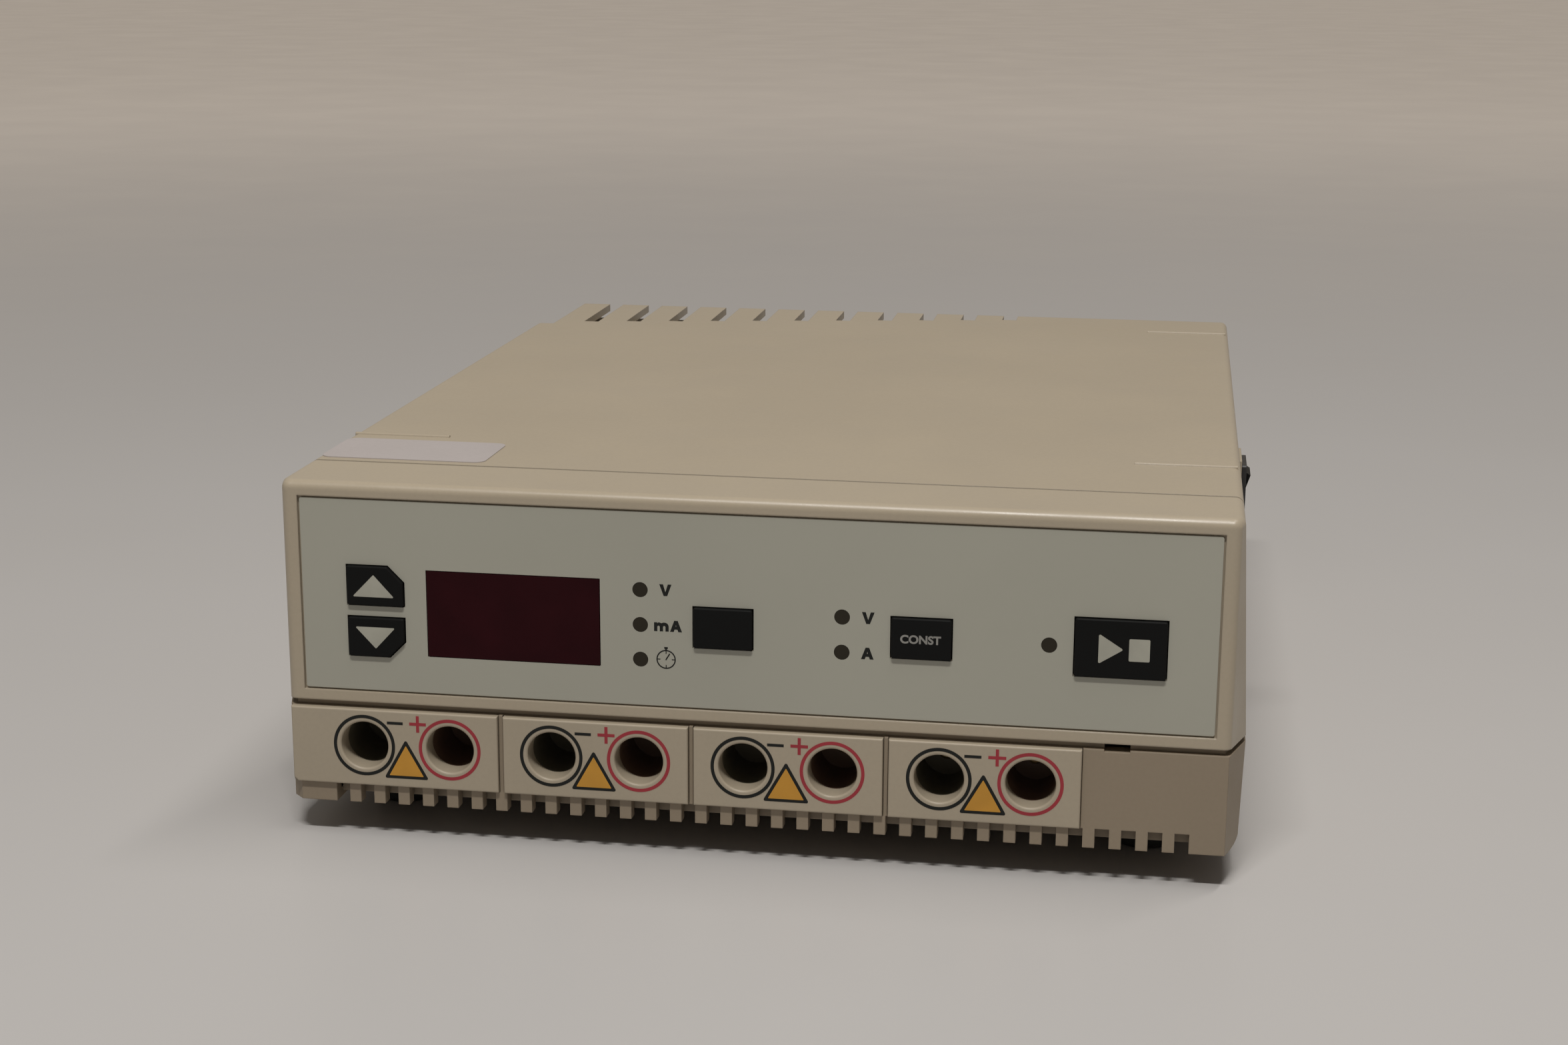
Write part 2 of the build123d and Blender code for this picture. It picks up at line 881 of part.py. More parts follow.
# Output modules: a front plate with two deep collars for shrouded plugs
def make_module(number):
    left = module_left_end
    if number:
        left = divider_x(number - 1) + module_divider / 2 + fit_gap
    right = module_right_end
    if number < modules - 1:
        right = divider_x(number) - module_divider / 2 - fit_gap
    plate = block((left, right), (-module_proud, module_seat), module_up)
    if number == 0:
        lower_left = plate.edges().filter_by(Axis.Y).sort_by(Axis.Z)[:2].sort_by(Axis.X)[0]
        plate = chamfer(lower_left, module_corner)
    plate = fillet(plate.faces().sort_by(Axis.Y)[0].edges(), module_edge_round)
    middle = module_x(number)
    boss_end = jack_boss_length - module_proud
    for side in (-1, 1):
        x = middle + side * jack_spacing / 2
        plate += rod_inward(x, jack_up, jack_boss_radius, (0, boss_end))
    collar_end = jack_collar_length - module_proud
    for side in (-1, 1):
        x = middle + side * jack_spacing / 2
        plate -= rod_inward(x, jack_up, jack_bore_radius, (-module_proud, boss_end))
        plate -= rod_inward(x, jack_up, jack_bore_radius + sleeve_wall, (collar_end, boss_end))
    mouths = plate.edges().filter_by(GeomType.CIRCLE).group_by(Axis.Y)[0]
    plate = fillet(mouths, jack_mouth_round)
    save(f"output_module_{number + 1}", plate)


def sleeve_span():
    boss_end = jack_boss_length - module_proud
    return (jack_collar_length - module_proud, boss_end - contact_flange)


def make_sleeves(name, wanted):
    start, end = sleeve_span()
    shapes = []
    for x, side in jack_places():
        if side == wanted:
            tube = rod_inward(x, jack_up, jack_bore_radius + sleeve_wall, (start, end))
            tube -= rod_inward(x, jack_up, jack_bore_radius, (start, end - sleeve_bottom))
            tube -= rod_inward(x, jack_up, contact_bore_radius + contact_bore_gap, (start, end))
            shapes.append(tube)
    save_each(name, shapes)


def make_output_board():
    end = jack_boss_length - module_proud
    board = block(output_board_x, (end, end + board_thickness), output_board_up)
    board -= [
        rod_inward(x, jack_up, contact_radius + fit_gap, (end, end + board_thickness))
        for x, side in jack_places()
    ]
    save("output_board", board)
    contacts = []
    nuts = []
    back = end + board_thickness
    for x, side in jack_places():
        body = rod_inward(x, jack_up, contact_flange_radius, (end - contact_flange, end))
        body += rod_inward(x, jack_up, contact_radius, (end - contact_flange, end + contact_length))
        body -= rod_inward(
            x,
            jack_up,
            contact_bore_radius,
            (end - contact_flange, end + contact_length - contact_end_wall),
        )
        contacts.append(body)
        hexagon = Pos(x, jack_up) * RegularPolygon(contact_nut_radius, 6)
        nut = sheet(hexagon, (back, back + contact_nut_height))
        nut -= rod_inward(
            x, jack_up, contact_radius + contact_nut_gap, (back, back + contact_nut_height)
        )
        nuts.append(nut)
    save_each("jack_contacts", contacts)
    save_each("jack_nuts", nuts)


# Rear panel: a plate with a shelf under the vent slots, and louvre slots of its own
def make_rear_panel():
    start = panel_front()
    plate = block(
        (-panel_half_width, panel_half_width),
        (start, start + panel_thickness),
        (wall + fit_gap, panel_top_up),
    )
    shelf = block(
        (-panel_half_width, panel_half_width),
        (shelf_inward, start + panel_thickness),
        (panel_top_up - panel_thickness, panel_top_up),
    )
    body = plate + shelf
    body -= [
        block(
            around(vent_x(number) + vent_pitch / 2, vent_width),
            (shelf_inward + shelf_margin, start - shelf_margin),
            (panel_top_up - panel_thickness, panel_top_up),
        )
        for number in range(vents - 1)
    ]
    body -= [
        block(around(vent_x(number), vent_width), (start, depth), louvre_up)
        for number in range(1, vents - 1)
    ]
    body -= block(
        around(inlet_x, inlet_body[0] + 2 * fit_gap),
        (start, depth),
        around(inlet_up, inlet_body[1] + 2 * fit_gap),
    )
    body -= [
        rod_inward(side * panel_screw_x, up, screw_radius + fit_gap, (start, depth))
        for side in (-1, 1)
        for up in panel_screws_up
    ]
    save("rear_panel", body)
    back = start + panel_thickness
    screws = [
        rod_inward(side * panel_screw_x, up, screw_head_radius, (back, back + screw_head_height))
        + rod_inward(side * panel_screw_x, up, shank_radius, (back - screw_length, back + bite))
        for side in (-1, 1)
        for up in panel_screws_up
    ]
    save_each("rear_panel_screws", screws)


# Mains inlet with its pins and fuse drawer
def make_inlet():
    seat = panel_front() + panel_thickness
    flange = sheet(
        rounded(
            around(inlet_x, inlet_flange[0]), around(inlet_up, inlet_flange[1]), inlet_corner
        ),
        (seat, seat + inlet_flange_thickness),
    )
    face = seat + inlet_flange_thickness
    shell = block(
        around(inlet_x, inlet_body[0]),
        (face - inlet_body_depth, seat + bite),
        around(inlet_up, inlet_body[1]),
    )
    body = flange + shell
    body -= sheet(
        rounded(
            around(inlet_x, socket[0]), around(inlet_up + socket_up, socket[1]), socket_corner
        ),
        (face - socket_depth, face),
    )
    body -= block(
        around(inlet_x, drawer[0] + 2 * slide_gap),
        (face - drawer_depth - slide_gap, face),
        around(inlet_up + drawer_up, drawer[1] + 2 * slide_gap),
    )
    pin_places = inlet_pins()
    body -= [
        block(
            around(x, pin_size[0]),
            (face - inlet_body_depth, face - socket_depth),
            around(up, pin_size[1]),
        )
        for x, up in pin_places
    ]
    save("inlet_housing", body)
    pins = [
        block(
            around(x, pin_size[0]),
            (face - pin_sink - pin_length, face - pin_sink),
            around(up, pin_size[1]),
        )
        for x, up in pin_places
    ]
    save_each("inlet_pins", pins)
    carrier = block(
        around(inlet_x, drawer[0]),
        (face - drawer_depth, face + drawer_face_thickness),
        around(inlet_up + drawer_up, drawer[1]),
    )
    carrier += sheet(
        rounded(
            around(inlet_x, drawer_face[0]),
            around(inlet_up + drawer_up, drawer_face[1]),
            drawer_corner,
        ),
        (face + drawer_face_gap, face + drawer_face_thickness),
    )
    fuse_start = face - drawer_depth + drawer_end_wall
    fuse_ends = (fuse_start, fuse_start + fuse_length)
    for side in (-1, 1):
        x = inlet_x + side * fuse_spread
        carrier -= rod_inward(x, inlet_up + drawer_up, fuse_radius, fuse_ends)
        carrier -= block(
            around(x, 2 * fuse_radius),
            fuse_ends,
            (inlet_up + drawer_up, inlet_up + drawer_up + drawer[1]),
        )
    save("fuse_drawer", carrier)
    fuses = [
        rod_inward(inlet_x + side * fuse_spread, inlet_up + drawer_up, fuse_radius, fuse_ends)
        for side in (-1, 1)
    ]
    save_each("fuses", fuses)


def inlet_pins():
    level = inlet_up + socket_up
    return [
        (inlet_x - pin_spread, level + outer_pin_rise),
        (inlet_x + pin_spread, level + outer_pin_rise),
        (inlet_x, level + middle_pin_rise),
    ]


# Power switch: its frame in the right side wall, and the rocker on its axle
def make_switch():
    flange_end = switch_pad_x + switch_flange_thickness
    flange = block(
        (switch_pad_x, flange_end),
        around(switch_inward, switch_flange[0]),
        around(switch_up, switch_flange[1]),
    )
    frame = fillet(flange.edges().filter_by(Axis.X), switch_corner)
    frame += block(
        (switch_pad_x - switch_body_depth, switch_pad_x + bite),
        around(switch_inward, switch_body[0]),
        around(switch_up, switch_body[1]),
    )
    well_radius = rocker_radius + rocker_gap
    place = Pos(rocker_axis_x, front + switch_inward, bottom + switch_up)
    well = place * Rot(90, 0, 0) * Cylinder(well_radius, rocker_width + 2 * slide_gap)
    frame -= well
    frame -= block(
        (rocker_axis_x, flange_end),
        around(switch_inward, rocker_width + 2 * slide_gap),
        around(switch_up, 2 * well_radius),
    )
    frame -= place * Rot(90, 0, 0) * Cylinder(trunnion_radius + trunnion_gap, switch_flange[0])
    save("switch_body", frame)


def make_rocker():
    place = Pos(rocker_axis_x, front + switch_inward, bottom + switch_up)
    drum = Rot(90, 0, 0) * Cylinder(rocker_radius, rocker_width)
    slope = math.tan(math.radians(rocker_tilt))
    far = rocker_radius + beyond
    outline = Polygon(
        (-rocker_skirt, -far),
        (rocker_waist + far * slope, -far),
        (rocker_waist, 0),
        (rocker_waist + far * slope, far),
        (-rocker_skirt, far),
        align=None,
    )
    keep = extrude(Plane.XZ * outline, amount=rocker_width, both=True)
    axle = Rot(90, 0, 0) * Cylinder(trunnion_radius, switch_body[0] - 2 * trunnion_gap)
    rocker = place * Rot(0, rocker_tilt, 0) * ((drum & keep) + axle)
    save("power_rocker", rocker)


# Feet, screws and the parts on the floor of the base shell
def make_feet():
    feet = []
    for x in (-foot_x, foot_x):
        for inward in foot_inward:
            pad = rod_up(x, inward, foot_radius, (-foot_height, 0))
            pad = fillet(pad.edges().group_by(Axis.Z)[0], foot_round)
            stem = rod_up(x, inward, foot_stem_radius, (-bite, foot_stem_length))
            head = rod_up(
                x, inward, foot_stem_radius + foot_barb, (wall, foot_stem_length)
            )
            feet.append(pad + stem + head)
    save_each("rubber_feet", feet)


def make_case_screws():
    screws = []
    for x, inward in case_screws:
        head = rod_up(
            x,
            inward,
            screw_head_radius,
            (case_screw_sink - screw_head_height, case_screw_sink),
        )
        shank = rod_up(
            x, inward, shank_radius, (case_screw_sink - bite, case_screw_top)
        )
        screws.append(head + shank)
    save_each("case_screws", screws)


def main_board_standoffs():
    places = []
    low, high = main_board_inward
    for x in (main_board_x[0] + standoff_margin, main_board_x[1] - standoff_margin):
        for inward in (low + standoff_margin, (low + high) / 2, high - standoff_margin):
            places.append((x, inward))
    return places


def make_main_board():
    top = main_board_up + board_thickness
    board = block(main_board_x, main_board_inward, (main_board_up, top))
    board -= [
        rod_up(x, inward, screw_radius + fit_gap, (main_board_up, top))
        for x, inward in main_board_standoffs()
    ]
    save("main_board", board)
    standoffs = [
        rod_up(x, inward, standoff_radius, (wall, main_board_up))
        - rod_up(x, inward, screw_radius, (top - screw_length, main_board_up))
        for x, inward in main_board_standoffs()
    ]
    save_each("board_standoffs", standoffs)
    screws = [
        rod_up(x, inward, screw_head_radius, (top, top + screw_head_height))
        + rod_up(x, inward, shank_radius, (top - screw_length + bite, top + bite))
        for x, inward in main_board_standoffs()
    ]
    save_each("main_board_screws", screws)


def on_board(place):
    return main_board_x[0] + place[0], main_board_inward[0] + place[1]


def board_block(place, size):
    x, inward = on_board(place)
    low = main_board_up + board_thickness
    return block(around(x, size[0]), around(inward, size[1]), (low, low + size[2]))


def make_board_parts():
    top = main_board_up + board_thickness
    cans = []
    for place in can_places:
        x, inward = on_board(place)
        can = rod_up(x, inward, can_radius, (top, top + can_height))
        cans.append(fillet(can.edges().group_by(Axis.Z)[-1], can_round))
    save_each("capacitors", cans)
    save_each("output_relays", [board_block(place, relay_size) for place in relay_places])
    save("rectifier", board_block(rectifier_place, rectifier_size))
    save("ribbon_header", board_block(ribbon_place, header_size))


# Choke and transformer: a framed core, and a winding round its middle limb
def framed_core(size, limb, middle_limb):
    wide, deep, high = size
    window = (wide - 2 * limb - middle_limb) / 2
    core = Box(wide, deep, high)
    for side in (-1, 1):
        x = side * (middle_limb + window) / 2
        core -= Pos(x, 0, 0) * Box(window, deep, high - 2 * limb)
    return core


def winding(size, limb, middle_limb, overhang):
    wide, deep, high = size
    gap = core_gap
    coil_width = wide - 2 * limb - 2 * gap
    coil = Box(coil_width, deep + 2 * overhang, high - 2 * limb - 2 * gap)
    return coil - Box(middle_limb + 2 * gap, deep + 2 * gap, high)


def make_choke():
    x, inward = on_board(choke_place)
    middle = main_board_up + board_thickness + choke_size[2] / 2
    place = Pos(x, front + inward, bottom + middle)
    save("choke_core", place * framed_core(choke_size, choke_limb, 2 * choke_limb))
    coil = winding(choke_size, choke_limb, 2 * choke_limb, choke_overhang)
    save("choke_winding", place * coil)


def make_transformer():
    x, inward = transformer_place
    low = wall + bracket_thickness
    place = Pos(x, front + inward, bottom + low + transformer_size[2] / 2)
    limb = transformer_limb
    save("transformer_core", place * framed_core(transformer_size, limb, 2 * limb))
    coil = winding(transformer_size, limb, 2 * limb, transformer_overhang)
    save("transformer_coil", place * coil)
    wide, deep, high = transformer_size
    plate = block(around(x, wide + 2 * bracket_ear), around(inward, deep), (wall, low))
    screw_x = (wide + bracket_ear) / 2
    holes = [x - screw_x, x + screw_x]
    plate -= [rod_up(at, inward, screw_radius + fit_gap, (wall, low)) for at in holes]
    save("transformer_bracket", plate)
    screws = [
        rod_up(at, inward, screw_head_radius, (low, low + screw_head_height))
        + rod_up(at, inward, shank_radius, (wall, low + bite))
        for at in holes
    ]
    save_each("transformer_screws", screws)


def make_heat_sink():
    in_low, in_high = heat_sink_inward
    up_span = (wall, heat_sink_height)
    body = block(heat_sink_x, (in_low, in_low + heat_sink_base), up_span)
    x_low, x_high = heat_sink_x
    pitch = (x_high - x_low - fin_thickness) / (heat_sink_fins - 1)
    for number in range(heat_sink_fins):
        left = x_low + number * pitch
        fin = (in_low + heat_sink_base - bite, in_high)
        body += block((left, left + fin_thickness), fin, up_span)
    save("heat_sink", body)
    devices = []
    for number in range(transistors):
        x = (x_low + x_high) / 2 + (number - (transistors - 1) / 2) * transistor_pitch
        wide, deep, high = transistor_size
        low = transistor_up - high
        device = block(around(x, wide), (in_low - deep, in_low), (low, transistor_up))
        tab_in = around(in_low - deep / 2, transistor_lead[1])
        tab_up = (low - transistor_lead[2], low + bite)
        device += block(around(x, transistor_lead[0]), tab_in, tab_up)
        devices.append(device)
    save_each("power_transistors", devices)


# Leads inside: straight runs joined by tangent arcs
def tube(points, radius, bend):
    path = FilletPolyline(*points, radius=bend)
    start = Plane(path @ 0, z_dir=path % 0)
    return sweep(start * Circle(radius), path=path)


def spot(x, inward, up):
    return (x, front + inward, bottom + up)


def make_ribbon():
    x, inward = on_board(ribbon_place)
    back = control_board_inward + board_thickness
    wide, deep, high = ribbon_socket_size
    up_span = (ribbon_socket_up, ribbon_socket_up + high)
    save("ribbon_socket", block(around(x, wide), (back, back + deep), up_span))
    level = ribbon_socket_up + high / 2
    header_top = main_board_up + board_thickness + header_size[2]
    points = [
        spot(x, back + deep, level),
        spot(x, inward, level),
        spot(x, inward, header_top),
    ]
    path = FilletPolyline(*points, radius=ribbon_bend)
    start = Plane(path @ 0, x_dir=(1, 0, 0), z_dir=path % 0)
    save("ribbon_cable", sweep(start * Rectangle(*ribbon_size), path=path))


def make_output_leads():
    end = jack_boss_length - module_proud + board_thickness
    level = output_board_up[1] - output_lead_drop
    reach = main_board_inward[0] + output_lead_reach
    leads = []
    for side in (-1, 1):
        x = module_x(modules - 1) + side * output_lead_pitch / 2
        points = [
            spot(x, end, level),
            spot(x, reach, level),
            spot(x, reach, main_board_up + board_thickness),
        ]
        leads.append(tube(points, output_lead_radius, output_lead_bend))
    save_each("output_leads", leads)


def make_mains_leads():
    face = panel_front() + panel_thickness + inlet_flange_thickness
    pin_end = face - pin_sink - pin_length
    leads = []
    for (x, up), margin in zip(inlet_pins(), mains_lead_margins):
        inward = main_board_inward[1] - margin
        points = [
            spot(x, pin_end, up),
            spot(x, inward, up),
            spot(x, inward, main_board_up + board_thickness),
        ]
        leads.append(tube(points, mains_lead_radius, mains_lead_bend))
    save_each("mains_leads", leads)


make_bezel()
make_overlay()
make_window()
make_light_windows()
for key_name, key_outline in keys.items():
    make_key(key_name, key_outline)
make_control_board()
make_display()
make_base()
make_cover()
make_label()
for module_number in range(modules):
    make_module(module_number)
make_sleeves("jack_sleeves_black", -1)
make_sleeves("jack_sleeves_red", 1)
make_output_board()
make_rear_panel()
make_inlet()
make_switch()
make_rocker()
make_feet()
make_case_screws()
make_main_board()
make_board_parts()
make_choke()
make_transformer()
make_heat_sink()
make_ribbon()
make_output_leads()
make_mains_leads()
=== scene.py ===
import math

import bpy
from mathutils import Matrix, Vector


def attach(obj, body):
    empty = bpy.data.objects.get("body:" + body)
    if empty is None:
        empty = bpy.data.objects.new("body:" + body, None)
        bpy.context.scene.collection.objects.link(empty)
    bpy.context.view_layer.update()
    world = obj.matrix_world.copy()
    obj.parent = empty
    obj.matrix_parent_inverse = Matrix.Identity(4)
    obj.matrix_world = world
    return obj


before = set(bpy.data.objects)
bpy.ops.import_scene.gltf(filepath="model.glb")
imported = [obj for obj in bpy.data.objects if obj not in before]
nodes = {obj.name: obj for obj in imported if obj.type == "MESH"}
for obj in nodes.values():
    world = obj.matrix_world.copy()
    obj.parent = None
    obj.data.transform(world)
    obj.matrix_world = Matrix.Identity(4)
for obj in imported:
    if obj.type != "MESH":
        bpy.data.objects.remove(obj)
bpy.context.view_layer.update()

MM = 0.001
FRONT = -150.0
BASE = 9.0


# Places are given as in the CAD source: x, inward from the front face, and up from the
# housing's lower edge, in millimetres
def spot(x, inward, up):
    return Vector((x, FRONT + inward, BASE + up)) * MM


# Materials. A Mix node's colour sockets go by number
MIX_FACTOR = 0
MIX_COLORS = (6, 7)
MIX_RESULT = 2
BEVEL_SAMPLES = 4
CREVICE_SAMPLES = 6


class Shader:
    def __init__(self, name):
        self.material = bpy.data.materials.new(name)
        self.material.use_nodes = True
        self.tree = self.material.node_tree
        self.tree.nodes.clear()
        out = self.add("ShaderNodeOutputMaterial")
        self.bsdf = self.add("ShaderNodeBsdfPrincipled")
        self.link(self.bsdf.outputs[0], out.inputs["Surface"])
        self.place = self.add("ShaderNodeTexCoord").outputs["Object"]

    def add(self, kind, **values):
        node = self.tree.nodes.new(kind)
        for key, value in values.items():
            setattr(node, key, value)
        return node

    def link(self, source, target):
        self.tree.links.new(source, target)

    def stretched(self, scale):
        node = self.add("ShaderNodeMapping")
        self.link(self.place, node.inputs["Vector"])
        node.inputs["Scale"].default_value = scale
        return node.outputs["Vector"]

    def noise(self, scale, detail=3.0, rough=0.5, vector=None):
        node = self.add("ShaderNodeTexNoise")
        self.link(vector or self.place, node.inputs["Vector"])
        node.inputs["Scale"].default_value = scale
        node.inputs["Detail"].default_value = detail
        node.inputs["Roughness"].default_value = rough
        return node.outputs["Fac"]

    def ranged(self, value, low, high, to_low, to_high):
        node = self.add("ShaderNodeMapRange")
        self.link(value, node.inputs["Value"])
        for name, number in (
            ("From Min", low), ("From Max", high), ("To Min", to_low), ("To Max", to_high)
        ):
            node.inputs[name].default_value = number
        return node.outputs["Result"]

    def mixed(self, factor, first, second):
        node = self.add("ShaderNodeMix", data_type="RGBA")
        self.link(factor, node.inputs[MIX_FACTOR])
        for index, value in zip(MIX_COLORS, (first, second)):
            if isinstance(value, tuple):
                node.inputs[index].default_value = (*value, 1.0)
            else:
                self.link(value, node.inputs[index])
        return node.outputs[MIX_RESULT]

    def edge_mask(self, radius, strength):
        bevel = self.add("ShaderNodeBevel", samples=BEVEL_SAMPLES)
        bevel.inputs["Radius"].default_value = radius
        normal = self.add("ShaderNodeNewGeometry").outputs["Normal"]
        dot = self.add("ShaderNodeVectorMath", operation="DOT_PRODUCT")
        self.link(bevel.outputs["Normal"], dot.inputs[0])
        self.link(normal, dot.inputs[1])
        return self.ranged(dot.outputs["Value"], 0.98, 0.75, 0.0, strength)

    # Painted shade: a mask that is strongest where ambient occlusion finds surfaces within the
    # distance
    def occlusion_shade_mask(self, distance, strength):
        node = self.add("ShaderNodeAmbientOcclusion", samples=CREVICE_SAMPLES)
        node.inputs["Distance"].default_value = distance
        return self.ranged(node.outputs["AO"], 0.35, 1.0, strength, 0.0)

    def bumped(self, height, distance, strength, round_radius=0.0):
        node = self.add("ShaderNodeBump")
        node.inputs["Strength"].default_value = strength
        node.inputs["Distance"].default_value = distance
        self.link(height, node.inputs["Height"])
        if round_radius:
            bevel = self.add("ShaderNodeBevel", samples=BEVEL_SAMPLES)
            bevel.inputs["Radius"].default_value = round_radius
            self.link(bevel.outputs["Normal"], node.inputs["Normal"])
        self.link(node.outputs["Normal"], self.bsdf.inputs["Normal"])

    def paint(self, color):
        self.link(color, self.bsdf.inputs["Base Color"])

    def roughness(self, value):
        self.link(value, self.bsdf.inputs["Roughness"])

    def drifting(self, color, drift, scale, detail):
        slow = self.ranged(self.noise(scale, detail), 0.35, 0.65, 0.0, 1.0)
        return self.mixed(slow, shade(color, 1 - drift), shade(color, 1 + drift))

    def patchy(self, scale, detail, low, high, rough=0.5):
        self.roughness(self.ranged(self.noise(scale, detail, rough), 0.3, 0.7, low, high))

    def specular(self, level):
        self.bsdf.inputs["Specular IOR Level"].default_value = level


def shade(color, factor):
    return tuple(min(1.0, c * factor) for c in color)


# Moulded plastic: slow drift of tone, a spark-eroded grain, worn edges, and painted shade in the
# joints and creases, darker where ambient occlusion finds nearby surfaces
def moulded(
    name,
    color,
    rough=0.5,
    drift=0.04,
    grain=2600.0,
    grain_depth=0.00003,
    grain_strength=0.35,
    wear=0.12,
    wear_color=None,
    crevice_shade=0.12,
    round_radius=0.00035,
    specular=0.5,
):
    s = Shader(name)
    base = s.drifting(color, drift, 14.0, 3.0)
    speck = s.ranged(s.noise(900.0, 2.0), 0.42, 0.62, 0.0, 0.10)
    base = s.mixed(speck, base, shade(color, 0.78))
    if wear:
        lighter = wear_color or shade(color, 1.25)
        base = s.mixed(s.edge_mask(0.0004, wear), base, lighter)
    # painted shade in joints and creases, from ambient occlusion
    if crevice_shade:
        base = s.mixed(s.occlusion_shade_mask(0.003, crevice_shade), base, shade(color, 0.32))
    s.paint(base)
    s.patchy(60.0, 4.0, rough - 0.06, rough + 0.06)
    s.specular(specular)
    s.bumped(s.noise(grain, 2.0, 0.6), grain_depth, grain_strength, round_radius)
    return s.material


def film(name, color):
    s = Shader(name)
    base = s.drifting(color, 0.03, 9.0, 2.0)
    smudge = s.ranged(s.noise(45.0, 5.0, 0.65), 0.5, 0.8, 0.0, 0.10)
    base = s.mixed(smudge, base, shade(color, 0.8))
    s.paint(base)
    s.roughness(s.ranged(s.noise(45.0, 5.0, 0.65), 0.3, 0.75, 0.42, 0.54))
    s.bumped(s.noise(5200.0, 1.0), 0.00001, 0.3)
    return s.material


def smooth(
    name, color, rough=0.3, spread=0.08, coat=0.0, drift=0.06, round_radius=0.0002,
    specular=0.5,
):
    s = Shader(name)
    s.specular(specular)
    s.paint(s.drifting(color, drift, 120.0, 3.0))
    s.patchy(300.0, 4.0, rough, rough + spread)
    s.bsdf.inputs["Coat Weight"].default_value = coat
    s.bumped(s.noise(1800.0, 2.0), 0.000006, 0.25, round_radius)
    return s.material


def metal(name, color, rough=0.3, streak=(40.0, 40.0, 1400.0), depth=0.000008, drift=0.12):
    s = Shader(name)
    lines = s.noise(1.0, 3.0, 0.6, s.stretched(streak))
    tone = s.ranged(lines, 0.3, 0.7, 0.0, 1.0)
    base = s.mixed(tone, shade(color, 1 - drift), shade(color, 1 + drift))
    stain = s.ranged(s.noise(160.0, 4.0), 0.55, 0.8, 0.0, 0.3)
    s.paint(s.mixed(stain, base, shade(color, 0.6)))
    s.bsdf.inputs["Metallic"].default_value = 1.0
    s.roughness(s.ranged(lines, 0.2, 0.8, rough, rough + 0.15))
    s.bumped(lines, depth, 0.4, 0.0002)
    return s.material


def board(name, color, copper):
    s = Shader(name)
    tracks = s.add("ShaderNodeTexBrick")
    s.link(s.place, tracks.inputs["Vector"])
    tracks.inputs["Scale"].default_value = 160.0
    tracks.inputs["Mortar Size"].default_value = 0.03
    tracks.inputs["Color1"].default_value = (*color, 1.0)
    tracks.inputs["Color2"].default_value = (*shade(color, 0.8), 1.0)
    tracks.inputs["Mortar"].default_value = (*copper, 1.0)
    mask = s.ranged(s.noise(90.0, 1.0), 0.45, 0.55, 0.0, 1.0)
    s.paint(s.mixed(mask, color, tracks.outputs["Color"]))
    s.patchy(400.0, 2.0, 0.28, 0.4)
    s.bumped(tracks.outputs["Fac"], 0.00003, 0.3)
    return s.material


# Bands of two colours, pitch millimetres apart
WAVE_PERIOD = 0.314


def banded(name, color, other, pitch, axis, rough, metallic=0.0):
    s = Shader(name)
    wave = s.add("ShaderNodeTexWave", bands_direction=axis)
    s.link(s.place, wave.inputs["Vector"])
    wave.inputs["Scale"].default_value = 1.0 / (pitch * MM) * WAVE_PERIOD
    wave.inputs["Distortion"].default_value = 0.4
    wave.inputs["Detail"].default_value = 2.0
    wave.inputs["Detail Scale"].default_value = 1.5
    tone = s.ranged(wave.outputs["Fac"], 0.1, 0.9, 0.0, 1.0)
    base = s.mixed(tone, color, other)
    patch = s.ranged(s.noise(70.0, 4.0), 0.5, 0.8, 0.0, 0.35)
    s.paint(s.mixed(patch, base, shade(color, 0.55)))
    s.bsdf.inputs["Metallic"].default_value = metallic
    s.patchy(240.0, 3.0, rough, rough + 0.12)
    s.bumped(wave.outputs["Fac"], 0.00008, 0.5)
    return s.material


def filter_window(name, color):
    s = Shader(name)
    streaks = s.ranged(s.noise(70.0, 3.0), 0.35, 0.7, 0.0, 1.0)
    s.paint(s.mixed(streaks, shade(color, 0.85), shade(color, 1.15)))
    s.patchy(55.0, 4.0, 0.16, 0.3, rough=0.6)
    s.specular(0.08)
    s.bumped(s.noise(2400.0, 1.0), 0.000004, 0.2)
    return s.material


def clear_glass(name, color):
    s = Shader(name)
    s.paint(s.mixed(s.ranged(s.noise(200.0), 0.3, 0.7, 0.0, 1.0), color, shade(color, 0.9)))
    s.bsdf.inputs["Transmission Weight"].default_value = 0.9
    s.patchy(500.0, 3.0, 0.03, 0.1)
    s.bumped(s.noise(900.0, 1.0), 0.000004, 0.2)
    return s.material


CREAM = (0.420, 0.355, 0.262)
CREAM_LOW = (0.288, 0.230, 0.163)
CREAM_MODULE = (0.415, 0.352, 0.262)
GREY = (0.398, 0.388, 0.324)
BLACK = (0.0092, 0.0094, 0.0092)
RED = (0.330, 0.022, 0.034)
AMBER = (0.560, 0.270, 0.028)

cream = moulded("cream_case", CREAM, rough=0.40, drift=0.02)
# The bezel's cream is the cover's made 3% lighter: painted brightening for the stronger light its
# top catches
cream_bezel = moulded(
    "cream_bezel", shade(CREAM, 1.03), rough=0.34, drift=0.02, grain_depth=0.00004,
    grain_strength=0.5, round_radius=0.0006,
)
cream_low = moulded("cream_base", CREAM_LOW, rough=0.52)
cream_module = moulded(
    "cream_module", CREAM_MODULE, rough=0.45, grain=3400.0, grain_depth=0.00002, crevice_shade=0.1
)
cream_sheet = moulded(
    "cream_sheet", shade(CREAM, 0.94), rough=0.55, grain=1500.0, grain_depth=0.00005
)
overlay_film = film("overlay_film", GREY)
key_plastic = moulded(
    "key_plastic", BLACK, rough=0.42, grain=4200.0, grain_depth=0.000015,
    wear=0.25, wear_color=(0.05, 0.05, 0.05), crevice_shade=0.0, specular=0.06,
)
